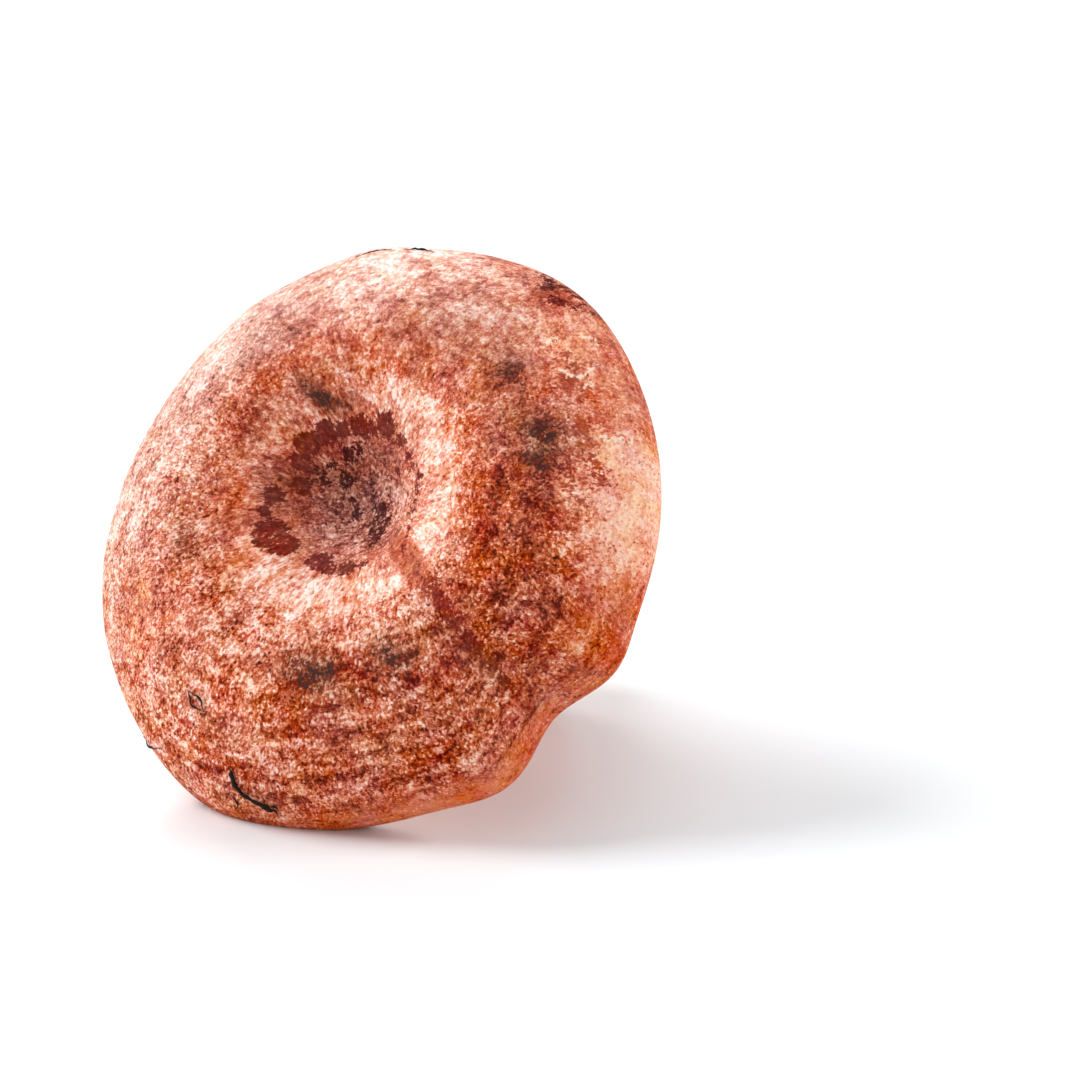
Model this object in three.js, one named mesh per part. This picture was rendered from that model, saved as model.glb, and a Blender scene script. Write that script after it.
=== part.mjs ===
// A saffron milk cap mushroom as picked, lying on the rim of its cap and the cut end of its stem.
// Millimetres. Each piece is shaped upright: stem axis on Z, height 0 at the cap's margin, gills
// below. The whole is then laid down with its cap facing -Y, and stands on Z = 0.

import * as THREE from 'three';

// Driving dimensions
const capRadius = 54.3;
const stemTopRadius = 16.2;
const stemFootRadius = 13.6;
const stemFootHeight = -58.8;
const stemLean = 2.5;
const gillCount = 60;
const needleRadius = 0.55;
const pieceGap = 0.35;

// Resting pose: how far the cap's face looks up, and how far the soft rim is pressed flat
const faceLift = THREE.MathUtils.degToRad(34);
const pressDepth = 1.3;

// Mesh fineness
const capSides = 96;
const stemSides = 48;
const samplesPerGill = 4;
const needleSteps = 10;
const needleSides = 8;

// Sections as [distance from the axis, height], in mm
const capTop = [
  [54.0, 3.4], [54.3, 6.0], [53.4, 9.4], [51.0, 12.6], [47.0, 15.9], [42.0, 18.9], [36.0, 21.4],
  [30.0, 22.2], [25.0, 21.6], [20.0, 19.8], [16.0, 17.8], [12.0, 15.2], [8.0, 12.2], [4.0, 9.6],
  [0.0, 9.0],
];
const capMargin = [[48.6, 1.9], [49.3, 0.7], [50.8, 0.2], [52.8, 1.3]];
const capUnderside = [[16.8, -4.0], [20.0, 0.8], [26.0, 5.8], [34.0, 8.4], [41.0, 8.0], [46.0, 5.2]];
const stemFlank = [[13.6, -49.0], [14.3, -37.0], [14.9, -26.0], [15.5, -18.0], [16.0, -10.0]];
const gillEdge = [
  [17.4, -14.0], [19.4, -9.6], [22.6, -5.4], [28.0, -1.4], [34.0, 0.8], [40.5, 1.6], [45.5, 1.3],
];
const gillCeiling = 8.7;
const gillHeelHeight = -17.6;
const gillHeelFlank = [[15.55, gillHeelHeight], [16.0, -10.0], [16.3, -5.0]];
const gillRootDepth = 0.9;
const shortBladeFade = [0.35, 0.6];

// The rim is not a true circle: each lobe swells or notches it round one bearing
const rimLobes = [
  { at: 60, spread: 13, out: 1.6 },
  { at: 103, spread: 5, out: 0.9 },
  { at: 165, spread: 24, out: -2.5 },
  { at: 256, spread: 15, out: 2.6 },
  { at: 312, spread: 7, out: 2.4 },
  { at: 326, spread: 6, out: -2.6 },
  { at: 341, spread: 5, out: 1.5 },
];

// The crease that runs from the funnel to the notch in the rim
const crease = { at: 325, start: 8, full: 44, depth: 1.3, width: 1.7, valleyDepth: 1.5, valleyWidth: 7 };

// Where the pine needle scrap lies, as [bearing in degrees, distance from the axis]
const needleRoute = [[260.4, 47.2], [262.6, 49.4], [266, 51.0], [270.5, 52.5]];

// The funnel sits a little off the middle of the cap
const funnelShift = new THREE.Vector2(1.5, 2.5);
const funnelReach = 40;

const capSkin = new THREE.MeshStandardMaterial({ color: 0xc0775f, roughness: 0.75, metalness: 0 });
const gillFlesh = new THREE.MeshStandardMaterial({ color: 0xdf6a2b, roughness: 0.6, metalness: 0 });
const stemSkin = new THREE.MeshStandardMaterial({ color: 0xe89a6c, roughness: 0.7, metalness: 0 });
const dryNeedle = new THREE.MeshStandardMaterial({ color: 0x2a1a12, roughness: 0.8, metalness: 0 });

const bearing = (p) => THREE.MathUtils.radToDeg(Math.atan2(p.y, p.x));

// Degrees from one bearing to another, the short way round
const bearingBetween = (a, b) => THREE.MathUtils.euclideanModulo(a - b + 180, 360) - 180;

const bell = (distance, width) => Math.exp(-0.5 * (distance / width) ** 2);

// How far the rim stands out at a bearing, as a share of the plain radius
function rimStretch(degrees) {
  const swell = (lobe) => lobe.out * bell(bearingBetween(degrees, lobe.at), lobe.spread);
  return rimLobes.reduce((sum, lobe) => sum + swell(lobe), 0) / capRadius;
}

// Depth of the crease and the broad valley round it
function creaseDepth(p) {
  const radius = Math.hypot(p.x, p.y);
  const across = radius * THREE.MathUtils.degToRad(bearingBetween(bearing(p), crease.at));
  const along = THREE.MathUtils.smoothstep(radius, crease.start, crease.full);
  const line = crease.depth * bell(across, crease.width);
  const valley = crease.valleyDepth * bell(across, crease.valleyWidth);
  return along * (line + valley);
}

// 1 on the cap's top and 0 on all that lies under its flesh
function topShare(radius, height) {
  const ceiling = gillCeiling * THREE.MathUtils.smoothstep(radius, 8, 20);
  return THREE.MathUtils.smoothstep(height - ceiling, 0, 2.5);
}

// Turns a round piece into the grown shape. The stem's own width is left alone.
function grow(p) {
  const radius = Math.hypot(p.x, p.y);
  const onTop = topShare(radius, p.z);
  const sunk = onTop * creaseDepth(p);
  const outward = THREE.MathUtils.smoothstep(radius, stemTopRadius + 1, capRadius);
  const stretch = 1 + rimStretch(bearing(p)) * outward;
  const shift = onTop * (1 - THREE.MathUtils.smoothstep(radius, 0, funnelReach));
  p.x = p.x * stretch + funnelShift.x * shift;
  p.y = p.y * stretch + funnelShift.y * shift;
  p.z -= sunk;
}

// The floor as seen from the upright mushroom: its up direction, and the height of the rim's low side
const floorUp = new THREE.Vector3(0, Math.cos(faceLift), Math.sin(faceLift));
const rimLowPoint = new THREE.Vector3(0, -56.7, 6.0).dot(floorUp);
const floorLevel = rimLowPoint + pressDepth;

// What would sink below the floor is pressed flat on it
function pressOnFloor(p) {
  const below = floorLevel - p.dot(floorUp);
  if (below > 0) p.addScaledVector(floorUp, below);
}

// Revolves a section round Z and moves every point by the given rule
function revolve(section, sides, rule) {
  const outline = section.map(([radius, height]) => new THREE.Vector2(radius, height));
  const geometry = new THREE.LatheGeometry(outline, sides);
  geometry.rotateX(Math.PI / 2);
  const position = geometry.getAttribute('position');
  const p = new THREE.Vector3();
  for (let i = 0; i < position.count; i += 1) {
    p.fromBufferAttribute(position, i);
    rule(p, i % section.length);
    pressOnFloor(p);
    position.setXYZ(i, p.x, p.y, p.z);
  }
  geometry.computeVertexNormals();
  return geometry;
}

function named(name, geometry, material) {
  const mesh = new THREE.Mesh(geometry, material);
  mesh.name = name;
  return mesh;
}

// Cap: flesh and skin in one, with its funnel, crease, rolled margin and a flat seat for the stem
function makeCap() {
  const seat = [0, capUnderside[0][1]];
  return named('cap', revolve([seat, ...capUnderside, ...capMargin, ...capTop], capSides, grow), capSkin);
}

// A line of points moved sideways by a distance, to the right of its direction
function beside(points, distance) {
  return points.map((point, i) => {
    const before = points[Math.max(i - 1, 0)];
    const after = points[Math.min(i + 1, points.length - 1)];
    const run = new THREE.Vector2(after[0] - before[0], after[1] - before[1]).normalize();
    return [point[0] + run.y * distance, point[1] - run.x * distance];
  });
}

// Blade height at a bearing and at a share of the way from heel to toe: 0 in a valley, 1 on a full
// blade's edge. Every second blade is a short one that fades out halfway to the stem.
function bladeHeight(degrees, share) {
  const turn = (degrees / 360) * gillCount * 2 * Math.PI;
  const blade = (1 + Math.cos(2 * turn)) / 2;
  const betweenFullBlades = (1 - Math.cos(turn)) / 2;
  const shortBlade = THREE.MathUtils.smoothstep(share, shortBladeFade[0], shortBladeFade[1]);
  return blade * (1 - betweenFullBlades * (1 - shortBlade));
}

// Gills: one ring of flesh under the cap, cut into blades that run down on to the stem
function makeGills() {
  const root = beside([...gillHeelFlank, ...capUnderside.slice(1), capMargin[0]], pieceGap);
  const heel = [root[0][0] + 0.7, root[0][1] - 0.6];
  const toe = [root.at(-1)[0] - 0.2, root.at(-1)[1] - gillRootDepth];
  const edge = [heel, ...gillEdge, toe];
  const rootLine = new THREE.SplineCurve(root.map(([radius, height]) => new THREE.Vector2(radius, height)));
  const section = [...edge, ...[...root].reverse(), heel];
  const cutBlades = (p, index) => {
    const ring = index % (section.length - 1);
    if (ring < edge.length) {
      const share = ring / (edge.length - 1);
      const tip = new THREE.Vector2(...edge[ring]);
      const valley = rootLine.getPoint(share);
      const depth = valley.distanceTo(tip);
      valley.lerp(tip, Math.min(gillRootDepth / depth, 1));
      const cut = valley.lerp(tip, bladeHeight(bearing(p), share));
      p.set((p.x * cut.x) / tip.x, (p.y * cut.x) / tip.x, cut.y);
    }
    grow(p);
  };
  return named('gills', revolve(section, gillCount * samplesPerGill, cutBlades), gillFlesh);
}

// Stem: from its seat under the cap to the cut foot, leaning a little to one side on the way
function makeStem() {
  const seatHeight = capUnderside[0][1] - pieceGap;
  const cutEdge = [[stemFootRadius - 1.2, stemFootHeight], [stemFootRadius, stemFootHeight + 1.2]];
  const seatEdge = [stemTopRadius, seatHeight];
  const section = [[0, stemFootHeight], ...cutEdge, ...stemFlank, seatEdge, [0, seatHeight]];
  const lean = (p) => {
    const down = THREE.MathUtils.clamp((gillHeelHeight - p.z) / (gillHeelHeight - stemFootHeight), 0, 1);
    p.x += stemLean * down ** 2;
  };
  return named('stem', revolve(section, stemSides, lean), stemSkin);
}

// A point on the cap's grown top, from a bearing and the plain distance from the axis
function capSurface(degrees, radius) {
  const outer = capTop.findLastIndex((point, i) => i > 0 && point[0] >= radius);
  const [a, b] = [capTop[outer], capTop[outer + 1]];
  const height = THREE.MathUtils.mapLinear(radius, a[0], b[0], a[1], b[1]);
  const angle = THREE.MathUtils.degToRad(degrees);
  const p = new THREE.Vector3(radius * Math.cos(angle), radius * Math.sin(angle), height);
  grow(p);
  return p;
}

// A scrap of dry pine needle stuck to the cap, standing clear of it by the usual gap
function makeNeedle() {
  const lift = pieceGap + needleRadius;
  const route = needleRoute.map(([degrees, radius]) => {
    const here = capSurface(degrees, radius);
    const inward = capSurface(degrees, radius - 1).sub(here);
    const round = capSurface(degrees + 1, radius).sub(here);
    return here.addScaledVector(round.cross(inward).normalize(), lift);
  });
  const section = new THREE.Shape().absarc(0, 0, needleRadius, 0, 2 * Math.PI);
  const path = new THREE.CatmullRomCurve3(route);
  const options = { extrudePath: path, steps: needleSteps, curveSegments: needleSides };
  return named('pine_needle_scrap', new THREE.ExtrudeGeometry(section, options), dryNeedle);
}

const mushroom = new THREE.Group();
mushroom.add(makeCap(), makeGills(), makeStem(), makeNeedle());
mushroom.rotation.x = Math.PI / 2 - faceLift;

// The origin is on the floor, under the middle of the whole
mushroom.updateMatrixWorld(true);
const reach = new THREE.Box3().setFromObject(mushroom, true);
const middle = reach.getCenter(new THREE.Vector3());
mushroom.position.set(-middle.x, -middle.y, -floorLevel);

export default mushroom;
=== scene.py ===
# Saffron milk cap mushroom as picked, lying on its rim and the cut end of its stem
import math
import bmesh
import bpy
import numpy as np
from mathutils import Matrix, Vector


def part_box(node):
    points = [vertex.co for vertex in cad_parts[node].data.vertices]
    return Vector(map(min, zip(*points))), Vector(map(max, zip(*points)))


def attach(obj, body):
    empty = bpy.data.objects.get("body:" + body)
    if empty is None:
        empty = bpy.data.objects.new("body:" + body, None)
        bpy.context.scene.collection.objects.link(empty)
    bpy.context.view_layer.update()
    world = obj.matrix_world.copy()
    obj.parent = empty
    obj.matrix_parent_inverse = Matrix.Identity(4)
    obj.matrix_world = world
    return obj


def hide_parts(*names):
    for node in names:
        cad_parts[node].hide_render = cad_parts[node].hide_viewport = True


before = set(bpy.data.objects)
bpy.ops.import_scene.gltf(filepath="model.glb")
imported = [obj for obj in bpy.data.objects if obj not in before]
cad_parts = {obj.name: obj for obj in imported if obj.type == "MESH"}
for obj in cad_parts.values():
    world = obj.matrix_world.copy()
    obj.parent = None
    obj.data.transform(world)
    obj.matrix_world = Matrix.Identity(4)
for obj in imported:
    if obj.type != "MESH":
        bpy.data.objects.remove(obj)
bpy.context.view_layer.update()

# Shapes are made upright, in millimetres: stem axis on Z, height 0 at the cap's margin.
# layDown then turns them into the resting pose and into metres.
mm = 0.001

restingPose = {
    "faceLift": math.radians(34),    # how far the cap's face looks up
    "rimLow": (0, -56.7, 6.0),       # lowest point of the rim
    "press": 1.3,                    # how far the soft rim is pressed flat
}

capShape = {
    "radius": 54.3,
    "stemRadius": 16.2,
    "gillCeiling": 8.7,
    "funnelShift": (1.5, 2.5),
    "funnelReach": 40,
    "seat": (0, -4.0),
    "underside": [(16.8, -4.0), (20.0, 0.8), (26.0, 5.8), (34.0, 8.4), (41.0, 8.0), (46.0, 5.2)],
    "margin": [(48.6, 1.9), (49.3, 0.7), (50.8, 0.2), (52.8, 1.3)],
    "top": [(54.0, 3.4), (54.3, 6.0), (53.4, 9.4), (51.0, 12.6), (47.0, 15.9), (42.0, 18.9),
            (36.0, 21.4), (30.0, 22.2), (25.0, 21.6), (20.0, 19.8), (16.0, 17.8), (12.0, 15.2),
            (8.0, 12.2), (4.0, 9.6), (0.0, 9.0)],
    # lobes and notches of the rim: bearing, spread in degrees, how far it stands out
    "lobes": [(60, 13, 1.6), (103, 5, 0.9), (165, 24, -2.5), (256, 15, 2.6), (312, 7, 2.4),
              (326, 6, -2.6), (341, 5, 1.5)],
    "crease": {"at": 325, "start": 8, "full": 44, "depth": 1.3, "width": 1.7,
               "valleyDepth": 1.5, "valleyWidth": 7},
    "stepsPerSpan": 7, "sectors": 120, "cuts": 3,
}


def smoothStep(x, low, high):
    t = np.clip((x - low) / (high - low), 0, 1)
    return t * t * (3 - 2 * t)


def bell(distance, width):
    return np.exp(-0.5 * (distance / width) ** 2)


def bearingOf(p):
    return np.degrees(np.arctan2(p[:, 1], p[:, 0]))


def bearingGap(a, b):
    return (a - b + 180) % 360 - 180


def ripples(p, size, seed, waves=20):
    # soft seeded noise, mostly from -1 to 1: many plane waves of about one size, in mm
    draw = np.random.default_rng(seed)
    total = np.zeros(len(p))
    for _ in range(waves):
        direction = draw.normal(size=p.shape[1])
        direction /= np.linalg.norm(direction) * size * draw.uniform(0.7, 1.4)
        total += np.cos(2 * math.pi * (p @ direction + draw.uniform()))
    return total / math.sqrt(waves)


def grow(p):
    # turns a round shape into the grown one, as the solids have it
    shape, crease = capShape, capShape["crease"]
    radius, bearing = np.hypot(p[:, 0], p[:, 1]), bearingOf(p)
    ceiling = shape["gillCeiling"] * smoothStep(radius, 8, 20)
    onTop = smoothStep(p[:, 2] - ceiling, 0, 2.5)
    across = radius * np.radians(bearingGap(bearing, crease["at"]))
    along = smoothStep(radius, crease["start"], crease["full"])
    sunk = along * (crease["depth"] * bell(across, crease["width"])
                    + crease["valleyDepth"] * bell(across, crease["valleyWidth"]))
    swell = sum(out * bell(bearingGap(bearing, at), spread) for at, spread, out in shape["lobes"])
    outward = smoothStep(radius, shape["stemRadius"] + 1, shape["radius"])
    stretch = 1 + swell / shape["radius"] * outward
    shift = onTop * (1 - smoothStep(radius, 0, shape["funnelReach"]))
    grown = p.copy()
    grown[:, 0] = p[:, 0] * stretch + shape["funnelShift"][0] * shift
    grown[:, 1] = p[:, 1] * stretch + shape["funnelShift"][1] * shift
    grown[:, 2] -= sunk * onTop
    return grown


def layDown(p, seat=(0, 0)):
    lift = restingPose["faceLift"]
    floorUp = np.array([0, math.cos(lift), math.sin(lift)])
    floorLevel = np.dot(restingPose["rimLow"], floorUp) + restingPose["press"]
    below = np.maximum(floorLevel - p @ floorUp, 0)
    pressed = p + below[:, None] * floorUp
    lying = np.empty_like(p)
    lying[:, 0] = pressed[:, 0] + seat[0]
    lying[:, 1] = pressed[:, 1] * math.sin(lift) - pressed[:, 2] * math.cos(lift) + seat[1]
    lying[:, 2] = pressed @ floorUp - floorLevel
    return lying * mm


def curveThrough(points, steps, beyond=None):
    # a smooth line through every point; beyond is where it would go on after the last
    points = [Vector(p) for p in points]
    p = [points[0] * 2 - points[1], *points,
         Vector(beyond) if beyond else points[-1] * 2 - points[-2]]
    line = []
    for a, b, c, d in zip(p, p[1:], p[2:], p[3:]):
        for step in range(steps):
            t = step / steps
            line.append((2 * b + (c - a) * t + (2 * a - 5 * b + 4 * c - d) * t ** 2
                         + (3 * b - a - 3 * c + d) * t ** 3) / 2)
    return line + [points[-1]]


def spinSection(name, section, sectors, cuts, closed=False):
    # turns a section, as (distance from the axis, height), round Z, in sectors that are then
    # cut finer. Each vertex keeps its number in the section and its way along it in mm.
    bm = bmesh.new()
    ring, along = bm.verts.layers.float.new("ring"), bm.verts.layers.float.new("along")
    verts, travelled = [], 0.0
    for i, (radius, height) in enumerate(section):
        if i:
            travelled += (Vector(section[i]) - Vector(section[i - 1])).length
        vert = bm.verts.new((radius, 0, height))
        vert[ring], vert[along] = i, travelled
        verts.append(vert)
    pairs = list(zip(verts, verts[1:])) + ([(verts[-1], verts[0])] if closed else [])
    edges = [bm.edges.new(pair) for pair in pairs]
    bmesh.ops.spin(bm, geom=verts + edges, cent=(0, 0, 0), axis=(0, 0, 1), dvec=(0, 0, 0),
                   angle=2 * math.pi, steps=sectors, use_merge=True, use_duplicate=False)
    bmesh.ops.remove_doubles(bm, verts=bm.verts, dist=1e-4)
    level = [edge for edge in bm.edges if abs(edge.verts[0][ring] - edge.verts[1][ring]) < 0.5]
    bmesh.ops.subdivide_edges(bm, edges=level, cuts=cuts, use_grid_fill=True)
    bmesh.ops.recalc_face_normals(bm, faces=bm.faces)
    mesh = bpy.data.meshes.new(name)
    bm.to_mesh(mesh)
    bm.free()
    mesh.shade_smooth()
    # the cut sectors are straight: put their new vertices back on the round
    p, columns = placesOf(mesh), sectors * (cuts + 1)
    radius = np.array([r for r, h in section])[ringOf(mesh)]
    turn = np.rint(bearingOf(p) % 360 / 360 * columns) / columns * 2 * math.pi
    movePlaces(mesh, np.column_stack((radius * np.cos(turn), radius * np.sin(turn), p[:, 2])))
    return mesh


def placesOf(mesh):
    p = np.empty(len(mesh.vertices) * 3)
    mesh.vertices.foreach_get("co", p)
    return p.reshape(-1, 3)


def movePlaces(mesh, p):
    mesh.vertices.foreach_set("co", np.ascontiguousarray(p, np.float32).ravel())
    mesh.update()


def readAttribute(mesh, name):
    values = np.empty(len(mesh.vertices), np.float32)
    mesh.attributes[name].data.foreach_get("value", values)
    return values.astype(float)


def ringOf(mesh):
    return np.rint(readAttribute(mesh, "ring")).astype(int)


def paint(mesh, name, values):
    # stores one number or one vector a vertex, for the materials to read
    vector = np.ndim(values) == 2
    layer = mesh.attributes.new(name, "FLOAT_VECTOR" if vector else "FLOAT", "POINT")
    flat = np.ascontiguousarray(values, np.float32).ravel()
    layer.data.foreach_set("vector" if vector else "value", flat)


def addPiece(mesh, name, material, slotName, *replacedNodes):
    piece = bpy.data.objects.new(name, mesh)
    bpy.context.scene.collection.objects.link(piece)
    mesh.materials.append(material)
    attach(piece, "root")
    if replacedNodes:
        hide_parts(*replacedNodes)
    print(name, "made,", len(mesh.polygons), "faces")
    return piece


def colour(hexValue):
    # an sRGB hex value as linear light
    parts = [int(hexValue[i:i + 2], 16) / 255 for i in (1, 3, 5)]
    return (*[c / 12.92 if c <= 0.04045 else ((c + 0.055) / 1.055) ** 2.4 for c in parts], 1)


def addNode(tree, kind, inputs=None, out=None, **settings):
    # adds one node and gives back its live output
    node = tree.nodes.new("ShaderNode" + kind)
    for name, value in settings.items():
        setattr(node, name, value)
    for socket, value in (inputs or {}).items():
        if isinstance(value, bpy.types.NodeSocket):
            tree.links.new(value, node.inputs[socket])
        else:
            node.inputs[socket].default_value = value
    return node.outputs[out] if out else next(o for o in node.outputs if o.enabled)


def layColours(tree, tint, layers):
    # lays colours over one another, each as (level, from, to, hex value, how much at most)
    for level, low, high, hexValue, most in layers:
        share = addNode(tree, "MapRange", {0: level, 1: low, 2: high, 3: 0, 4: most},
                        interpolation_type="SMOOTHSTEP")
        tint = addNode(tree, "Mix", {0: share, 6: tint, 7: colour(hexValue)}, data_type="RGBA")
    return tint


def sumLevels(tree, base, *terms):
    # a base level and others added to it, each as (level, weight)
    for level, weight in terms:
        base = addNode(tree, "Math", {0: level, 1: weight, 2: base}, operation="MULTIPLY_ADD")
    return base


def newMaterial(name, roughness, subsurface=0.0, reach=(1.0, 0.35, 0.2)):
    material = bpy.data.materials.new(name)
    material.use_nodes = True
    shader = material.node_tree.nodes["Principled BSDF"]
    shader.inputs["Roughness"].default_value = roughness
    shader.inputs["IOR"].default_value = 1.4
    shader.inputs["Subsurface Weight"].default_value = subsurface
    shader.inputs["Subsurface Radius"].default_value = reach
    shader.inputs["Subsurface Scale"].default_value = 1.5 * mm
    return material, material.node_tree, shader


# Felted cap skin: a dry fungus skin of fine matted threads, brick red to salmon, under a pale
# bloom that is rubbed into crumbs of half a millimetre to a millimetre. It scatters light like
# matt cloth and shines only a little where it is bare and damp.
capFelt = {
    # from bare skin to the thickest bloom
    "tones": [(0.0, "#45110B"), (0.15, "#702012"), (0.3, "#993920"), (0.45, "#BE5533"),
              (0.6, "#DB7E5B"), (0.75, "#F0B097"), (0.9, "#FADBCC"), (1.0, "#FFF0E6")],
    "warm": "#FFDDC0", "grime": "#C9C4BC", "murk": "#3C322D", "margin": "#E08A58",
    "peel": "#FBE6CF",
    "stainSize": 4.5, "stainContrast": 2.6, "crumbSize": 0.45, "crumbContrast": 0.64,
    "streakCount": 40, "streakLength": 1.0, "rowCount": 6, "rowWidth": 1.5, "rowContrast": 0.9,
    "zoneSize": 7, "hueSpread": 0.045, "dullSpread": 0.45,
}


def makeCapMaterial():
    s = capFelt
    material, tree, shader = newMaterial("cap_felted_skin", 0.8, subsurface=0.04)
    shader.inputs["Specular IOR Level"].default_value = 0.05
    at = {name: addNode(tree, "Attribute", attribute_name=name,
                        out="Vector" if name.endswith("Place") else "Fac")
          for name in ("skinPlace", "streakPlace", "rowPlace", "streakShare", "rowShare", "bloomAndLight",
                       "crispness", "spots", "bareTone", "orange", "murk", "vivid", "margin",
                       "peel")}

    # stains and fibres of all sizes, as strong when small as when large, and crumbs that have
    # a tone each
    grains = []
    for name, perCrumb in (("skinPlace", s["crumbSize"]), ("streakPlace", 1.0)):
        stains = addNode(tree, "TexNoise", {
            "Vector": at[name], "Scale": s["crumbSize"] / s["stainSize"] / perCrumb,
            "Detail": 6, "Roughness": 1.0, "Distortion": 0.1})
        torn = addNode(tree, "VectorMath", {
            0: stains.node.outputs["Color"], 1: (2 * perCrumb,) * 3, 2: at[name]},
            operation="MULTIPLY_ADD")
        crumbs = addNode(tree, "TexVoronoi", {"Vector": torn, "Scale": 1 / perCrumb},
                         out="Color")
        middle = -0.5 * (s["stainContrast"] + s["crumbContrast"])
        grains.append(sumLevels(tree, middle, (crumbs, s["crumbContrast"]),
                                (stains, s["stainContrast"])))
    grain = addNode(tree, "Mix", {0: at["streakShare"], 2: grains[0], 3: grains[1]},
                    data_type="FLOAT")

    # growth leaves rows of stains round the funnel
    rows = addNode(tree, "TexNoise", {"Vector": at["rowPlace"], "Scale": 1, "Detail": 3,
                                      "Roughness": 0.6})
    rowTone = sumLevels(tree, -0.5 * s["rowContrast"], (rows, s["rowContrast"]))
    felted = sumLevels(tree, at["bloomAndLight"], (rowTone, at["rowShare"]), (grain, at["crispness"]))
    rubbed = addNode(tree, "MapRange", {0: sumLevels(tree, at["spots"], (grain, -1.5)),
                                        1: 0.4, 2: 0.7}, interpolation_type="SMOOTHSTEP")
    bare = sumLevels(tree, at["bareTone"], (grain, 0.4))
    tone = addNode(tree, "Mix", {0: rubbed, 2: felted, 3: bare}, data_type="FLOAT")
    (_, barest), *tones = s["tones"]
    levels = [level for level, _ in s["tones"]]
    tint = layColours(tree, colour(barest), [(tone, low, high, hexValue, 1) for low, (
        high, hexValue) in zip(levels, tones)])
    # zones lean to orange or to purple, or are duller; soiled ones are grey-brown
    zones = addNode(tree, "TexNoise", {"Vector": at["skinPlace"], "Detail": 4,
                                       "Scale": 1 / s["zoneSize"], "Roughness": 0.7})
    warmth = addNode(tree, "MapRange", {
        0: sumLevels(tree, at["orange"], (rows, 0.8), (zones, 1.6)), 1: 1.25, 2: 2.0})
    for share, over in ((warmth, s["warm"]), (at["murk"], s["grime"])):
        tint = addNode(tree, "Mix", {0: share, 6: tint, 7: colour(over)},
                       data_type="RGBA", blend_type="MULTIPLY")
    hue = addNode(tree, "SeparateColor", {0: zones.node.outputs["Color"]})
    dullness = hue.node.outputs["Green"]
    vividMost = addNode(tree, "Math", {0: at["vivid"], 1: 0.5 * s["dullSpread"]})
    tint = addNode(tree, "HueSaturation", {
        "Color": tint,
        "Hue": sumLevels(tree, 0.5 * (1 - s["hueSpread"]), (hue, s["hueSpread"])),
        "Saturation": sumLevels(tree, vividMost, (dullness, -s["dullSpread"]))})
    tint = layColours(tree, tint, [
        (sumLevels(tree, at["murk"], (grain, -1.5)), 0.6, 1.2, s["murk"], 0.7),
        (sumLevels(tree, at["margin"], (grain, 1.0)), 0.3, 0.9, s["margin"], 0.7),
        (sumLevels(tree, at["peel"], (grain, 1.4)), 0.5, 0.8, s["peel"], 0.75),
    ])
    tree.links.new(tint, shader.inputs["Base Color"])
    nap = addNode(tree, "Bump", {"Strength": 0.8, "Distance": 0.12 * mm, "Height": grain})
    tree.links.new(nap, shader.inputs["Normal"])
    return material


farOutside = -9.0    # stands for a point that is in no mark


def depthInside(plan, places):
    # how far inside the nearest round mark each point is, in mm, from marks as (x, y, size)
    depth = np.full(len(plan), farOutside)
    for x, y, size in places:
        depth = np.maximum(depth, size - np.hypot(plan[:, 0] - x, plan[:, 1] - y))
    return depth


def smudges(plan, places):
    # soft marks as (x, y, size, strength), added together
    total = np.zeros(len(plan))
    for x, y, size, strength in places:
        total += strength * bell(np.hypot(plan[:, 0] - x, plan[:, 1] - y), size)
    return total


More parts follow.
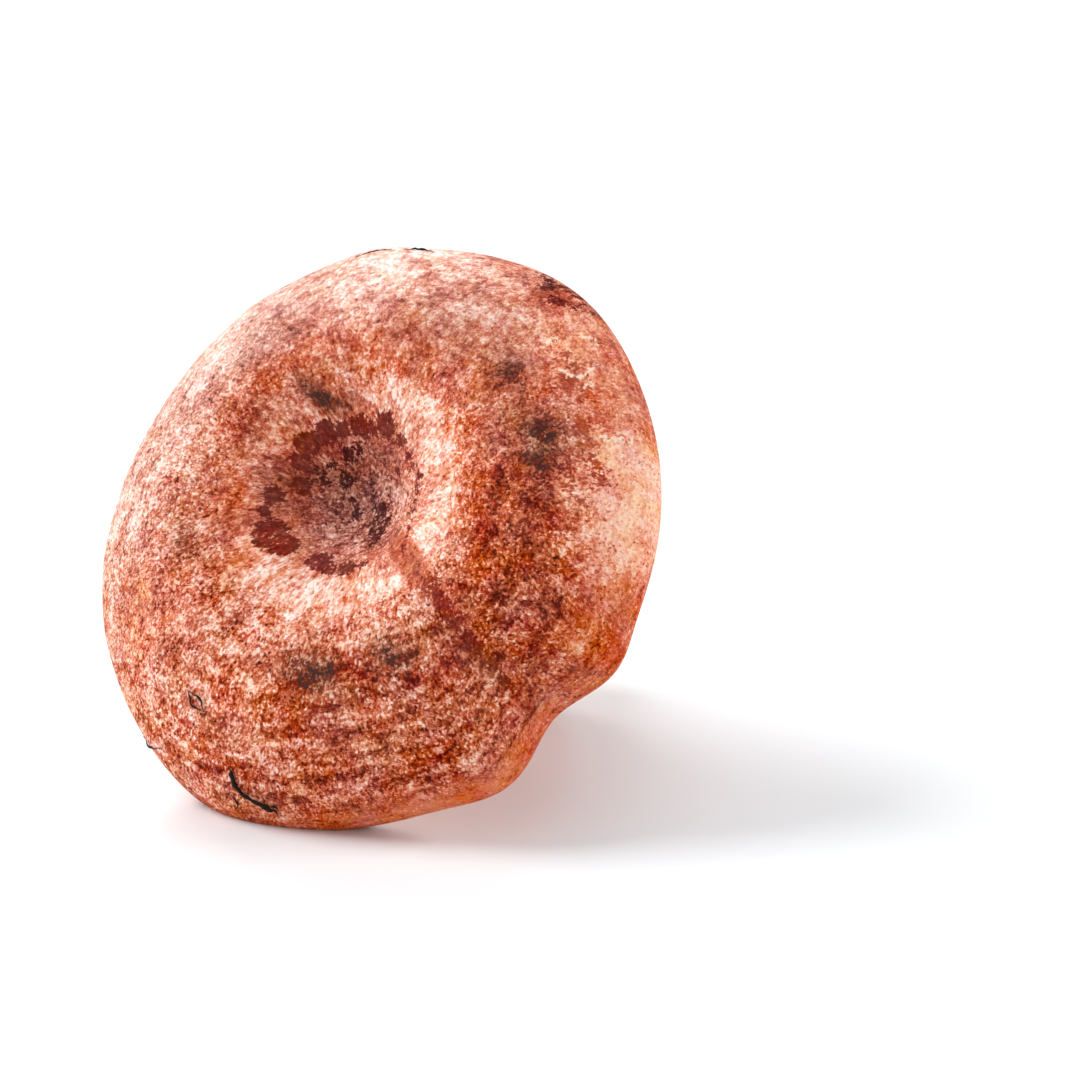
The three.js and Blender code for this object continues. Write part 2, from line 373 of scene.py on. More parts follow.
# Marks on the cap, seen in plan: x to the right, y up, from the stem's axis, in mm
capMarks = {
    # parts of the cap: bearing and spread in degrees, and the distances over which they fade in
    "parts": {"lowSide": (290, 34, 30, 36), "lowRim": (300, 35, 42, 50),
              "lowEdge": (302, 28, 47, 52), "rightEdge": (8, 26, 43, 50),
              "upperSide": (90, 40, 20, 30), "dullSide": (125, 50, 26, 40)},
    # where the skin is bare and dark, as how pale it is and its round parts
    "bareSpots": [
        (0.20, [(3.5, 15.7, 2.2), (0.9, 15.0, 1.4), (-1.6, 15.2, 2.1), (-4.7, 14.1, 1.6),
                (-7.6, 13.1, 2.1), (-10.8, 10.3, 2.2), (-9.0, 11.6, 1.6), (-11.5, 7.4, 1.8),
                (-14.1, 0.1, 2.0), (-10.6, 3.4, 1.6), (-12.2, -7.4, 3.2), (-9.4, -8.6, 2.7),
                (-2.3, -10.3, 2.3), (0.4, -11.4, 1.4), (3.3, -11.0, 1.7), (6.2, -9.8, 1.0),
                (7.0, 13.6, 1.4), (8.7, 11, 1.0), (10.2, 9.4, 0.9), (12.4, 7.4, 0.9),
                (12.1, 5.2, 0.9), (12.2, 3.4, 0.7), (12.0, 1.6, 0.9), (12.4, -0.2, 0.7),
                (12.7, -2, 0.9), (13.2, -4, 0.7), (13.6, -6.1, 0.9), (-14.5, -3.0, 1.0)]),
        (0.08, [(2.9, 2.2, 1.6), (3.6, 0.3, 2.2), (4.2, -1.8, 2.0), (4.8, -3.6, 1.5),
                (-1.3, 1.2, 1.1), (-3.6, 10.6, 1.4), (-2.1, 11.6, 1.1), (-6.8, 8.2, 1.2),
                (-4.3, 6.5, 1.5), (-2.9, 3.5, 1.0), (-7.5, 5.5, 1.0)]),
        # the bruise at the rim
        (0.14, [(21.3, 50.2, 0.6), (22.8, 49.4, 0.7), (24.3, 48.7, 0.6), (26.6, 48, 0.8),
                (28, 47.2, 0.5), (29.5, 46.3, 0.7), (31.6, 45.1, 0.6), (33.4, 43.6, 0.8),
                (25.1, 46.2, 1.1), (27.5, 43.4, 1.0), (28.9, 43.5, 0.8), (31.2, 43, 0.7)]),
        (0.42, [(39.8, 20.7, 0.9), (40.9, 19.5, 1.3), (41.7, 18.4, 0.8), (43.8, 14.2, 0.9),
                (44.6, 12.8, 1.2), (45.4, 11.6, 1.0), (46.3, 10.5, 0.8), (41.8, 8.1, 1.2),
                (44.7, 5.9, 1.0), (33.8, 32.6, 1.1), (36.1, 31, 0.9), (36.5, 26.8, 1.1)]),
    ],
    # distance from the axis, how much bloom
    "bloomRings": [(0, 0.28), (4, 0.36), (9, 0.38), (12, 0.44), (15, 0.60), (18, 0.72),
                   (21, 0.68), (25, 0.50), (31, 0.42), (36, 0.40), (42, 0.47), (48, 0.54),
                   (54, 0.61)],
    "bloomAndLightSmudges": [
        # painted light in the funnel: painted highlight makes its low and right walls pale and its
        # right lip white, painted shade darkens its middle
        (-1, -5, 4.5, 0.18), (8.5, 5.5, 4, 0.22), (3, 0, 2.5, -0.12), (15, 0, 3.5, 0.12),
        # the thin dark mark above the funnel, and the skin made darker and redder round it and to
        # the left
        (-9.3, 18.4, 1.3, -0.3), (-6.5, 17.8, 1.3, -0.3), (-4, 18.3, 1.1, -0.25),
        (-12, 20, 1.2, -0.2), (-3, 19, 3.5, -0.14), (-14, 11.5, 4, -0.12), (-17, -3, 4, -0.18),
        (-22, 6, 7, -0.14),
        # white arcs below the funnel and on both sides of the crease
        (2, -18, 5, 0.16), (14, -20, 4, 0.12), (20, -24, 5, 0.10), (25, -13, 7, 0.14),
        # pale areas, from the left by the top to the right edge: pale bloom, and along the rim
        # partly painted highlight
        (-32, -10, 6, 0.12), (-31, 6, 6, 0.28), (-48, -6, 13, 0.18), (-32, 26, 9, 0.24),
        (-5, 43, 11, 0.26), (24, 34, 10, 0.18), (22, 12, 6, 0.10), (53, 16, 7, 0.28),
        (53, 3, 7, 0.28),
        # pale areas on the low side
        (-24, -24, 5, 0.12), (-10, -32, 8, 0.20), (-34, -36, 8, 0.12),
        # the dark area on the right, and the bruise
        (36, -14, 9, -0.12), (35, 6, 7, -0.12), (28, 46, 4, -0.16),
        # dark specks in the soiled spots
        (36.4, 15.5, 1.2, -0.3), (34.7, 17, 1.0, -0.3), (36.1, 10.7, 0.9, -0.35),
        (37.8, 7.7, 1, -0.25), (27.5, 26.5, 1.6, -0.25), (5, -32.5, 1.6, -0.15),
        (22, -27, 1.6, -0.12)],
    "orangeSmudges": [(34, 34, 8, 0.5), (44, 10, 7, 0.4), (14, -50, 7, 0.3), (36, -8, 8, 0.2),
                      (-37, -23, 4, 0.6), (-32, -30, 4, 0.6), (-28, -23, 4, 0.5),
                      (-21, -3, 3, 0.6), (-8, -38, 5, 0.2), (18, -12, 5, -0.3),
                      (-15, -12, 3, 0.6)],
    "murkSmudges": [(32, 18, 3.6, 0.6), (36.4, 15.5, 2.8, 0.8), (36, 10.7, 1.8, 0.9),
                    (26.8, 26.8, 2.8, 0.7), (2.4, -30.6, 2.6, 0.7), (6, -33, 2.8, 0.7),
                    (9, -31, 2.8, 0.6), (17.5, -26.3, 2.8, 0.6), (22, -27, 3.0, 0.6),
                    (-26.3, -11.5, 2.0, 0.7), (-13.7, 21.4, 1.1, 0.5), (-11.7, 19.7, 1.3, 0.8),
                    (-9.3, 18.4, 1.4, 0.8), (-7.1, 17.8, 1.3, 0.8), (-5, 18.1, 1.1, 0.8),
                    (-2.7, 19.7, 0.8, 0.6), (-24, 30, 5, 0.35), (8, 35, 6, 0.35),
                    (21, 33, 6, 0.35), (-40, 12, 4, 0.4), (-44, 0, 3, 0.4), (-38, -22, 3, 0.3),
                    (-3, 5, 5, 0.4)],
    # white flakes of bloom that is peeling off
    "peels": [(34.6, 37.1, 0.5), (35.6, 37.3, 0.6), (36.6, 37.2, 0.6), (37.8, 36.5, 0.5),
              (30.6, 34, 0.6), (31.2, 35.2, 0.7), (32, 36.1, 0.5), (34.1, 29.1, 0.5),
              (34.9, 28.9, 0.6), (35.8, 28.5, 0.6), (36.7, 28.2, 0.7), (37.5, 28.7, 0.6),
              (38.1, 29.6, 0.6), (38.4, 31.1, 0.5), (38.9, 32.1, 0.6), (34.9, 30.9, 0.6),
              (35.8, 30, 0.5), (38.1, 26.2, 0.5), (38.9, 27.1, 0.6), (39.6, 27.8, 0.5),
              (42.1, 16.6, 0.5), (43.4, 17.5, 0.6), (44.5, 18.4, 0.7), (45.6, 18.7, 0.6),
              (46.7, 18.8, 0.7), (48, 19, 0.6)],
    # half the width of the bare crease at each distance from the axis
    "creaseWidths": [(3, 0.2), (9, 1.2), (13, 2.2), (17, 3.0), (21, 2.7), (25, 1.9), (30, 1.4),
                     (36, 1.3), (42, 1.1), (50, 0.5)],
    # how much bloom is left in it at each distance
    "creaseBloom": [(12, 0.42), (20, 0.44), (26, 0.37), (32, 0.29)],
    "creaseBare": (25, 49, 0.25),    # from and to where its bottom is bare, and how pale it is
    "border": 1.4,                   # how wide the soft border of a bare mark is
    "edgeBloom": 0.57,               # how much bloom the rolled margin has on the low side
}


capOutline = curveThrough(capShape["underside"] + capShape["margin"] + capShape["top"],
                          capShape["stepsPerSpan"], (-4.0, 9.6))


def makeCap():
    s = capShape
    mesh = spinSection("cap", [Vector(s["seat"]), *capOutline], s["sectors"], s["cuts"])
    plan = placesOf(mesh)
    fromFunnel = readAttribute(mesh, "along").max() - readAttribute(mesh, "along")
    degrees = bearingOf(plan)
    radius = np.hypot(plan[:, 0], plan[:, 1])
    heading = np.column_stack((np.cos(np.radians(degrees)), np.sin(np.radians(degrees))))
    paint(mesh, "skinPlace", np.column_stack((heading * fromFunnel[:, None], 0 * radius)))
    for name, count, length in (("streakPlace", capFelt["streakCount"], capFelt["streakLength"]),
                                ("rowPlace", capFelt["rowCount"], capFelt["rowWidth"])):
        paint(mesh, name, np.column_stack((heading * count, fromFunnel / length)))
    grown = grow(plan)
    top = smoothStep(plan[:, 2], 6, 10)
    marks = capMarks
    part = {name: bell(bearingGap(degrees, bearing), spread) * smoothStep(radius, start, full)
            for name, (bearing, spread, start, full) in marks["parts"].items()}

    # low lumps of the flesh, and fine ridges in rings on the low side
    drift = ripples(grown, 14, 3)
    rings = part["lowSide"] * np.cos(2 * math.pi * (radius + 0.7 * drift) / 3.6)
    relief = 0.30 * ripples(plan, 17, 1) + 0.10 * ripples(plan, 6, 2) + 0.12 * rings
    relief *= 1 - 0.6 * smoothStep(radius, 40, 52)

    bloomRings = np.array(marks["bloomRings"])
    bloomAndLight = np.interp(radius + drift, bloomRings[:, 0], bloomRings[:, 1])
    # the smudges add pale bloom, and also painted highlight and painted shade in the funnel and
    # along the rim
    bloomAndLight += smudges(grown, marks["bloomAndLightSmudges"]) + 0.04 * ripples(grown, 7, 4)
    bloomAndLight += 0.05 * rings * (0.6 + 0.8 * ripples(grown, 9, 5))
    bloomAndLight -= 0.12 * part["lowRim"]
    # there is less bloom in the crease, and part of its bottom is bare
    creaseAt = s["crease"]["at"] + 2.5 * bell(radius - 27, 8)
    across = np.abs(radius * np.radians(bearingGap(degrees, creaseAt)))
    halfCrease = np.interp(radius, *zip(*marks["creaseWidths"]), left=farOutside)
    creaseBloom = np.interp(radius, *zip(*marks["creaseBloom"]))
    crease = np.clip(0.5 + (halfCrease - across) / marks["border"], 0, 1)
    bloomAndLight -= np.maximum(bloomAndLight - creaseBloom, 0) * crease
    bareFrom, bareTo, creaseTone = marks["creaseBare"]
    bare = np.where((radius > bareFrom) & (radius < bareTo), halfCrease - across, farOutside)
    bareTone = np.full(len(plan), creaseTone)
    for paleness, places in marks["bareSpots"]:
        depth = depthInside(grown, places)
        bareTone = np.where(depth > bare, paleness, bareTone)
        bare = np.maximum(bare, depth)
    # the rolled margin is smoother on the low side and, less so, on the right
    flank = 1 - smoothStep(plan[:, 2], 7, 13.5)
    edge = part["lowEdge"] * flank
    bloomAndLight -= 0.12 * smoothStep(radius, 47, 52) * flank
    paint(mesh, "bloomAndLight", bloomAndLight + edge * (marks["edgeBloom"] - bloomAndLight))
    paint(mesh, "spots", np.clip(0.5 + bare / marks["border"], 0, 1))
    paint(mesh, "bareTone", bareTone)
    paint(mesh, "crispness", (1 - 0.3 * crease) * (1 - 0.8 * edge) * (1 - 0.5 * part["rightEdge"]))
    paint(mesh, "orange", smudges(grown, marks["orangeSmudges"]) + 0.3 * edge
          + 0.1 * smoothStep(radius, 44, 52) + 0.25 * part["rightEdge"])
    paint(mesh, "vivid", 1 - 0.2 * bell(radius, 9) - 0.25 * part["dullSide"])
    paint(mesh, "rowShare", (0.5 + 0.9 * part["lowSide"]) * (1 - 0.8 * edge))
    paint(mesh, "streakShare",
          np.clip(0.7 * bell(radius - 17, 4) + 0.6 * part["upperSide"], 0, 0.7))
    paint(mesh, "murk", np.clip(smudges(grown, marks["murkSmudges"]) * (1 - crease), 0, 1))
    paint(mesh, "margin", smoothStep(2.8 - plan[:, 2], 0, 1.5) * (radius > 44))
    paint(mesh, "peel", np.clip(0.5 + depthInside(grown, marks["peels"]), 0, 1))

    grown[:, 2] += relief * top
    lying = layDown(grown)
    low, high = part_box("cap")
    middle = (lying.max(0) + lying.min(0)) / 2
    seat = ((low.x + high.x) / 2 - middle[0], (low.y + high.y) / 2 - middle[1])
    lying[:, :2] += seat
    movePlaces(mesh, lying)
    addPiece(mesh, "mushroom_cap", makeCapMaterial(), "cap_skin", "cap")
    return seat[0] / mm, seat[1] / mm


seat = makeCap()
print("the mushroom stands at", [round(v, 2) for v in seat])

# The ring of gills: blades that hang from the cap's flesh and run down on to the stem
gillShape = {
    "edge": [(15.6, -18.6), (17.4, -14.0), (19.4, -9.6), (22.6, -5.4), (28.0, -1.4), (34.0, 0.8),
             (40.5, 1.6), (45.5, 1.3), (48.6, 1.0)],
    "root": [(15.2, -17.6), (15.7, -10.0), (16.0, -5.0), (20.0, 0.9), (26.0, 5.9), (34.0, 8.5),
             (41.0, 8.1), (46.0, 5.3), (48.7, 2.0)],
    "stepsPerSpan": 3,
    "blades": 240, "thickness": 0.5, "rootDepth": 1.1,
    "samples": 6,      # vertices a blade: three over its edge, three over the valley beside it
}


def makeGills():
    s = gillShape
    edge = np.array(curveThrough(s["edge"], s["stepsPerSpan"]))
    root = np.array(curveThrough(s["root"], s["stepsPerSpan"]))
    samples = s["samples"]
    columns = s["blades"] * samples
    mesh = spinSection("gills", [Vector(p) for p in [*edge, *root[::-1]]], s["blades"],
                       samples - 1, closed=True)
    plan, ring = placesOf(mesh), ringOf(mesh)
    column = np.rint(bearingOf(plan) % 360 / 360 * columns).astype(int) % columns
    cut = ring < len(edge)
    ring, blade, sample = ring[cut], column[cut] // samples, column[cut] % samples

    draw = np.random.default_rng(11)
    short = blade % 2 == 1
    fadeStart = draw.uniform(0.30, 0.52, s["blades"])
    heelStart = draw.uniform(0.0, 0.10, s["blades"])
    shrink = draw.uniform(0.0, 0.10, s["blades"])
    pull = np.zeros(s["blades"])
    for first in np.flatnonzero(draw.random(s["blades"] // 4) < 0.4) * 4:
        pull[[first, (first + 2) % s["blades"]]] = 0.42, -0.42

    share = ring / (len(edge) - 1)
    start = np.where(short, fadeStart[blade], heelStart[blade])
    height = smoothStep(share, start, start + 0.14) * (1 - shrink[blade])
    pitch = 2 * math.pi / s["blades"]
    half = s["thickness"] / 2 / (edge[ring, 0] * pitch)
    isSample = [sample == k for k in range(samples)]
    turn = np.select(isSample, [-half, 0 * half, half, half + 0.03, 0 * half + 0.5, 0.97 - half])
    inCrest = np.select(isSample, [0.96, 1.0, 0.96, 0.07, 0.0, 0.07])
    turn += pull[blade] * (1 - smoothStep(share, 0.15, 0.42)) * (sample < samples // 2)
    hang = edge[ring] - root[ring]
    depth = np.hypot(hang[:, 0], hang[:, 1])
    floorShare = np.minimum((s["rootDepth"] * smoothStep(share, 0.04, 0.3) - 0.3) / depth, 1)
    reach = floorShare + (1 - floorShare) * height * inCrest
    place = root[ring] + hang * reach[:, None]
    bearing = (blade + turn) * pitch
    flat = np.column_stack((place[:, 0] * np.cos(bearing), place[:, 0] * np.sin(bearing)))
    wave = 0.32 * ripples(flat, 15, 12) + 0.07 * ripples(flat, 6, 13)
    bearing += (wave * smoothStep(share, 0.1, 0.4) * (1 - 0.7 * smoothStep(share, 0.85, 1))
                / place[:, 0])
    plan[cut, 0] = place[:, 0] * np.cos(bearing)
    plan[cut, 1] = place[:, 0] * np.sin(bearing)
    plan[cut, 2] = place[:, 1]

    crest, alongBlade, tone = (np.zeros(len(plan)) for _ in range(3))
    crest[cut] = height * inCrest
    alongBlade[cut] = share
    tone[cut] = draw.uniform(-1, 1, s["blades"])[blade] * 0.5 + 0.5 * ripples(flat, 16, 14)
    paint(mesh, "crest", crest)
    paint(mesh, "share", alongBlade)
    paint(mesh, "tone", tone)
    paint(mesh, "bladePlace", np.column_stack((plan[:, 0], plan[:, 1], 4 * alongBlade)))
    movePlaces(mesh, layDown(grow(plan), seat))
    addPiece(mesh, "mushroom_gills", makeGillMaterial(), "gill_flesh", "gills")


# Gill flesh: thin moist blades of mushroom flesh full of carrot-orange milk. They let light
# through; the pale orange of the edges is partly painted glow, and the deep red-orange of the
# valleys between them is painted shade.
gillFlesh = {
    "valley": "#B23A12", "wall": "#DB5E22", "edge": "#F09A62", "heel": "#F6CDB2",
    "toe": "#B5664A", "streakSize": 1.2,
}


def makeGillMaterial():
    s = gillFlesh
    material, tree, shader = newMaterial("moist_gill_flesh", 0.42, subsurface=0.25)
    at = {name: addNode(tree, "Attribute", attribute_name=name,
                        out="Vector" if name.endswith("Place") else "Fac")
          for name in ("bladePlace", "crest", "share", "tone")}
    mottle = addNode(tree, "TexNoise", {"Vector": at["bladePlace"], "Detail": 4,
                                        "Scale": 1 / s["streakSize"], "Roughness": 0.6})
    level = sumLevels(tree, at["crest"], (mottle, 0.7), (at["tone"], 0.16))
    # colour by height on the blade: painted shade in the valleys, orange walls, and pale edges
    # partly painted glow
    tint = layColours(tree, colour(s["valley"]), [
        (level, 0.35, 0.95, s["wall"], 1),
        (level, 1.05, 1.55, s["edge"], 0.9),
        (sumLevels(tree, at["share"], (mottle, -0.08)), 0.09, -0.02, s["heel"], 0.9),
        (at["share"], 0.93, 1.0, s["toe"], 0.8),
    ])
    tree.links.new(tint, shader.inputs["Base Color"])
    return material


makeGills()

# The stem, from its seat under the cap to the cut foot
stemShape = {
    "cut": [(0, -58.8), (1, -58.8), (5, -58.8), (9, -58.8), (12.2, -58.8), (13.1, -58.5),
            (13.5, -57.9)],
    "flank": [(13.6, -57.2), (13.6, -49.0), (14.3, -37.0), (14.9, -26.0), (15.5, -18.0),
              (16.0, -10.0), (16.2, -4.4)],
    "stepsPerSpan": 12, "sectors": 50, "cuts": 3,
    "heelHeight": -17.6, "footHeight": -58.8, "lean": 2.5,
    "flankFrom": 13.2,      # distance from the axis where the cut face ends
    "meanRadius": 14.5,
    "pits": 60, "pitSize": (0.6, 1.9), "pitDepth": 0.25,
    "pitsTop": -21, "pitsReach": 36,
}


def makeStem():
    s = stemShape
    section = [Vector(p) for p in s["cut"]] + curveThrough(s["flank"], s["stepsPerSpan"])
    mesh = spinSection("stem", section + [Vector((0, -4.4))], s["sectors"], s["cuts"])
    plan = placesOf(mesh)
    radius, degrees = np.hypot(plan[:, 0], plan[:, 1]), bearingOf(plan)
    heading = np.column_stack((plan[:, 0], plan[:, 1])) / np.maximum(radius, 1e-6)[:, None]
    flank = (radius > s["flankFrom"]).astype(float)

    draw = np.random.default_rng(21)
    pits = np.zeros(len(plan))
    for _ in range(s["pits"]):
        bearing = draw.uniform(0, 360)
        height = s["pitsTop"] - s["pitsReach"] * draw.random() ** 0.8
        size = draw.uniform(*s["pitSize"])
        sideways = s["meanRadius"] * np.radians(bearingGap(degrees, bearing))
        distance = np.hypot(sideways, (plan[:, 2] - height) / draw.uniform(1.1, 1.8))
        pits = np.maximum(pits, 1 - smoothStep(distance, 0.5 * size, 1.25 * size))
    swell = 0.28 * ripples(plan, 15, 22) + 0.08 * ripples(plan, 5, 23)
    outward = (swell - s["pitDepth"] * pits) * flank * smoothStep(-plan[:, 2], 17, 24)
    plan[:, :2] += heading * outward[:, None]
    # the cut face is uneven and sunken
    inCut = (radius < 12) & (plan[:, 2] < s["footHeight"] + 0.1)
    sag = 0.35 * ripples(plan, 9, 24) + 0.35 * smoothStep(radius, 6, 12)
    plan[:, 2] += np.maximum(sag, 0) * inCut

    paint(mesh, "pits", pits * flank)
    paint(mesh, "cutRing", radius)
    paint(mesh, "height", plan[:, 2])
    paint(mesh, "barkPlace", np.column_stack((plan[:, 0], plan[:, 1], plan[:, 2] * 0.45)))
    paint(mesh, "dustPlace", plan)
    down = np.clip((s["heelHeight"] - plan[:, 2]) / (s["heelHeight"] - s["footHeight"]), 0, 1)
    plan[:, 0] += s["lean"] * down ** 2
    movePlaces(mesh, layDown(plan, seat))
    addPiece(mesh, "mushroom_stem", makeStemMaterial(), "stem_skin", "stem")


# Stem skin: dry, smooth mushroom flesh, salmon orange under a thin pale dust, with shallow
# darker orange pits; white down at the top where the gills end. The cut foot is pale flesh
# with a ring of orange milk and a browned rim.
stemSkin = {
    "base": "#CF7148", "dust": "#E6B093", "pit": "#C05A2C", "blush": "#B5503A", "down": "#F7DCCD",
    "underGills": "#B9461C", "cutFlesh": "#E3AE86", "milk": "#DA7A45", "rim": "#9A5636",
    "fibreSize": 1.3, "dustSize": 0.7, "patchesPerMm": 0.14, "cutFrom": -57.9, "cutTo": -57.4,
}


def makeStemMaterial():
    s = stemSkin
    material, tree, shader = newMaterial("stem_dusted_skin", 0.68, subsurface=0.15)
    at = {name: addNode(tree, "Attribute", attribute_name=name,
                        out="Vector" if name.endswith("Place") else "Fac")
          for name in ("barkPlace", "dustPlace", "height", "cutRing", "pits")}
    fibres = addNode(tree, "TexNoise", {"Vector": at["barkPlace"], "Detail": 5,
                                        "Scale": 1 / s["fibreSize"], "Roughness": 0.65})
    dust = addNode(tree, "TexNoise", {"Vector": at["dustPlace"], "Detail": 5,
                                      "Scale": 1 / s["dustSize"], "Roughness": 0.7})
    patches = addNode(tree, "TexNoise", {"Vector": at["dustPlace"], "Detail": 3,
                                         "Scale": s["patchesPerMm"], "Roughness": 0.55})
    cut = addNode(tree, "MapRange", {0: at["height"], 1: s["cutTo"], 2: s["cutFrom"]})
    # the noises make the borders of the layers ragged
    tint = layColours(tree, colour(s["base"]), [
        (sumLevels(tree, at["height"], (fibres, 8), (patches, 12)), -25, -9, s["blush"], 0.7),
        (sumLevels(tree, -0.85, (dust, 1.6), (patches, 1.1)), 0.35, 0.9, s["dust"], 0.75),
        (sumLevels(tree, at["pits"], (dust, 1.6)), 1, 2, s["pit"], 0.7),
        (sumLevels(tree, at["height"], (fibres, 9), (patches, 16)), -7, -1.5, s["down"], 0.85),
        (sumLevels(tree, at["height"], (fibres, 4)), -9, -5, s["underGills"], 1),
        (cut, 0, 1, s["cutFlesh"], 1),
        (sumLevels(tree, at["cutRing"], (dust, 3)), 11.2, 13.6, s["milk"], cut),
        (sumLevels(tree, at["cutRing"], (dust, 2)), 13.4, 14.8, s["rim"], cut),
    ])
    tree.links.new(tint, shader.inputs["Base Color"])
    relief = addNode(tree, "Bump", {"Strength": 0.5, "Distance": 0.3 * mm,
                                    "Height": sumLevels(tree, fibres, (dust, 0.6))})
    tree.links.new(relief, shader.inputs["Normal"])
    return material


makeStem()

# Dry plant scraps stuck to the cap, as routes of (bearing, distance from the axis), and how
# thick they are at shares of their length
scraps = {
    "needle": [(261.0, 47.7), (262.2, 49.5), (264, 50.6), (266.4, 51.2), (269.9, 52.3)],
    "needleRadii": [(0, 0.1), (0.06, 0.34), (0.25, 0.40), (0.4, 0.26), (0.75, 0.34),
                    (0.93, 0.44), (1, 0.12)],
    # strands that stand off the needle's ends
    "strands": [[(261.8, 49.2), (260.9, 48.2), (261.9, 47.1)],
                [(268.8, 51.9), (270.4, 51.6), (271.2, 52.2)],
                [(268.8, 52.1), (270.3, 52.2), (271.0, 53.0)]],
    "bits": [[(261.0, 51.2), (262.3, 52.2), (261.7, 53.0)],
             [(234.5, 53.9), (238.0, 53.6), (242.5, 51.2)],
             [(244.0, 40.8), (248.0, 40.5), (251.0, 41.7)],
             [(244.0, 40.8), (247.0, 42.0), (251.0, 41.7)], [(352.6, 42.4), (354.0, 43.6)],
             [(99.0, 51.6), (102.5, 51.2), (106.5, 50.4)],
             [(89.5, 51.6), (93.0, 52.2), (96.5, 51.9)]],
    "bitRadii": [(0, 0.05), (0.5, 0.2), (1, 0.05)],
}


def onCap(degrees, radius, lift):
    # a point above the cap's skin
    rim = max(range(len(capOutline)), key=lambda i: capOutline[i][0])
    outward = [tuple(p) for p in reversed(capOutline[rim:])]
    around = [(degrees, radius), (degrees, radius - 1), (degrees + 1, radius)]
    heights = [np.interp(r, [p[0] for p in outward], [p[1] for p in outward]) for _, r in around]
    here, inward, beside = grow(np.array([
        (r * math.cos(math.radians(d)), r * math.sin(math.radians(d)), h)
        for (d, r), h in zip(around, heights)]))
    normal = np.cross(beside - here, inward - here)
    return here + normal / np.linalg.norm(normal) * lift


def addScrap(bm, route, radii, lift, sides=10, cuts=22):
    # a closed tube along a route on the cap
    line = np.array(curveThrough([onCap(*place, lift) for place in route], 12))
    tube = bmesh.new()
    bmesh.ops.create_cone(tube, cap_ends=True, segments=sides, radius1=1, radius2=1, depth=1)
    lengthwise = [edge for edge in tube.edges
                  if abs(edge.verts[0].co.z - edge.verts[1].co.z) > 0.5]
    bmesh.ops.subdivide_edges(tube, edges=lengthwise, cuts=cuts, use_grid_fill=True)
    for vert in tube.verts:
        share = vert.co.z + 0.5
        at = share * (len(line) - 1)
        i = min(int(at), len(line) - 2)
        run = Vector(line[i + 1] - line[i])
        here = Vector(line[i]) + run * (at - i)
        side = run.cross(Vector((0, 0, 1))).normalized()
        up = side.cross(run).normalized()
        thick = np.interp(share, *zip(*radii))
        vert.co = here + (side * vert.co.x + up * vert.co.y * 0.8) * thick
    bmesh.ops.recalc_face_normals(tube, faces=tube.faces)
    part = bpy.data.meshes.new("tube")
    tube.to_mesh(part)
    tube.free()
    bm.from_mesh(part)
    bpy.data.meshes.remove(part)


def makeScraps():
    s = scraps
    needle = [(s["needle"], s["needleRadii"], 0.55)]
    needle += [(route, s["bitRadii"], 0.5) for route in s["strands"]]
    bits = [(route, s["bitRadii"], 0.12) for route in s["bits"]]
    for name, parts, nodes in (("pine_needle", needle, ["pine_needle_scrap"]),
                               ("plant_bits", bits, [])):
        bm = bmesh.new()
        for route, radii, lift in parts:
            addScrap(bm, route, radii, lift)
        mesh = bpy.data.meshes.new(name)
        bm.to_mesh(mesh)
        bm.free()
        mesh.shade_smooth()
        plan = placesOf(mesh)
        paint(mesh, "scrapPlace", plan)
        movePlaces(mesh, layDown(plan + 0.08 * ripples(plan, 1.6, 31)[:, None], seat))
        addPiece(mesh, name, scrapMaterial, "dry_needle", *nodes)


# Dry pine needle: dead, weathered plant fibre, nearly black, with faint paler strands
driedNeedle = {"dark": "#120C09", "pale": "#4A3A2C", "strandsPerMm": 2.2}


def makeScrapMaterial():
    s = driedNeedle
    material, tree, shader = newMaterial("dry_plant_scrap", 0.6)
    shader.inputs["Specular IOR Level"].default_value = 0.2
    place = addNode(tree, "Attribute", out="Vector", attribute_name="scrapPlace")
    strands = addNode(tree, "TexNoise", {"Vector": place, "Scale": s["strandsPerMm"],
                                         "Detail": 4, "Roughness": 0.7})
    tint = layColours(tree, colour(s["dark"]), [(strands, 0.52, 0.72, s["pale"], 0.8)])
    tree.links.new(tint, shader.inputs["Base Color"])
    relief = addNode(tree, "Bump", {"Strength": 0.6, "Distance": 0.2 * mm, "Height": strands})
    tree.links.new(relief, shader.inputs["Normal"])
    return material


scrapMaterial = makeScrapMaterial()
makeScraps()

camera = {"bearing": 26, "height": 15, "distance": 0.460, "lens": 85,
          "lookAt": (0.02436, 0.00529, 0.04226)}


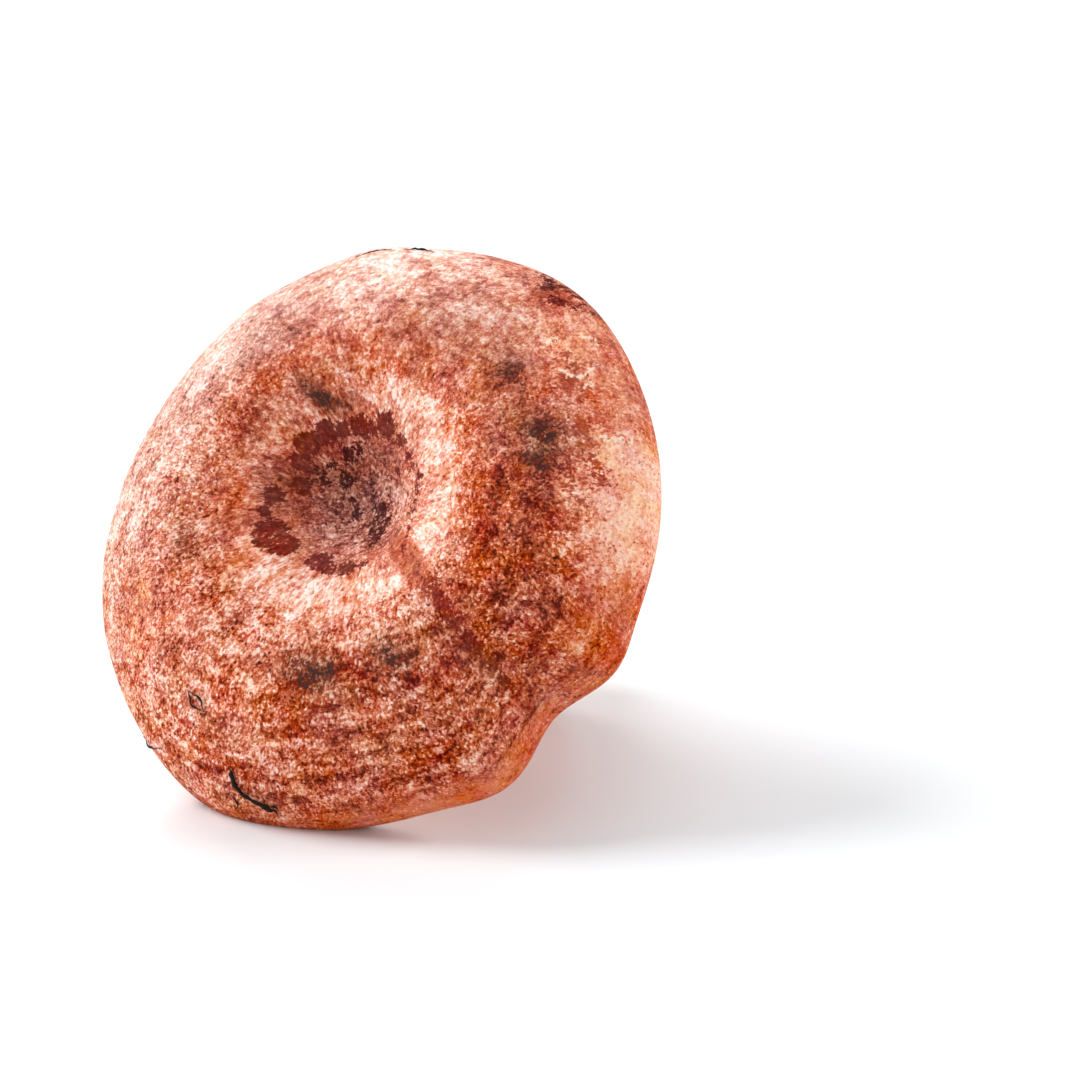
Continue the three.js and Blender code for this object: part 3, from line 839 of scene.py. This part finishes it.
def addCamera():
    s = camera
    data = bpy.data.cameras.new("camera")
    data.lens, data.sensor_width, data.clip_start = s["lens"], 36, 0.01
    eye = bpy.data.objects.new("camera", data)
    bearing, height = math.radians(s["bearing"]), math.radians(s["height"])
    away = Vector((math.sin(bearing) * math.cos(height), -math.cos(bearing) * math.cos(height),
                   math.sin(height)))
    eye.location = Vector(s["lookAt"]) + away * s["distance"]
    eye.rotation_euler = away.to_track_quat("Z", "Y").to_euler()
    bpy.context.scene.collection.objects.link(eye)
    bpy.context.scene.camera = eye


# Soft studio light: lamps as name, direction they shine from, strength, how wide in degrees
studio = {
    "lamps": [("keyLeft", (-0.75, -0.20, 0.70), 2.5, 35), ("rimRight", (0.80, 0.42, 0.50), 1.2, 25),
              ("rimLeft", (-0.75, 0.60, 0.45), 1.1, 25)],
    # the white tent is brightest low down, all round
    "tentLow": "#FFFFFF", "tentHigh": "#B4B4B6", "lowUpTo": 0.15, "highFrom": 0.7,
    "floor": "#F0F4F6", "floorSize": 60.0,
}


def addStudio():
    s = studio
    for name, direction, power, width in s["lamps"]:
        data = bpy.data.lights.new(name, "SUN")
        data.energy, data.angle = power, math.radians(width)
        lamp = bpy.data.objects.new(name, data)
        lamp.rotation_euler = Vector(direction).to_track_quat("Z", "Y").to_euler()
        bpy.context.scene.collection.objects.link(lamp)
    world = bpy.data.worlds.new("white_studio")
    world.use_nodes = True
    tree = world.node_tree
    heading = addNode(tree, "TexCoord", out="Generated")
    height = addNode(tree, "SeparateXYZ", {0: heading}, out="Z")
    tent = layColours(tree, colour(s["tentLow"]),
                      [(height, s["lowUpTo"], s["highFrom"], s["tentHigh"], 1)])
    tree.links.new(tent, tree.nodes["Background"].inputs["Color"])
    bpy.context.scene.world = world
    bm = bmesh.new()
    bmesh.ops.create_grid(bm, x_segments=1, y_segments=1, size=s["floorSize"] / 2)
    bmesh.ops.translate(bm, verts=bm.verts, vec=(0, 0, -0.02 * mm))
    mesh = bpy.data.meshes.new("floor")
    bm.to_mesh(mesh)
    bm.free()
    material, tree, shader = newMaterial("white_acrylic_floor", 0.3)
    shader.inputs["Base Color"].default_value = colour(s["floor"])
    mesh.materials.append(material)
    floor = bpy.data.objects.new("floor", mesh)
    bpy.context.scene.collection.objects.link(floor)
    bpy.context.scene.view_settings.view_transform = "Standard"


addCamera()
addStudio()
print("camera, lamps and floor set")
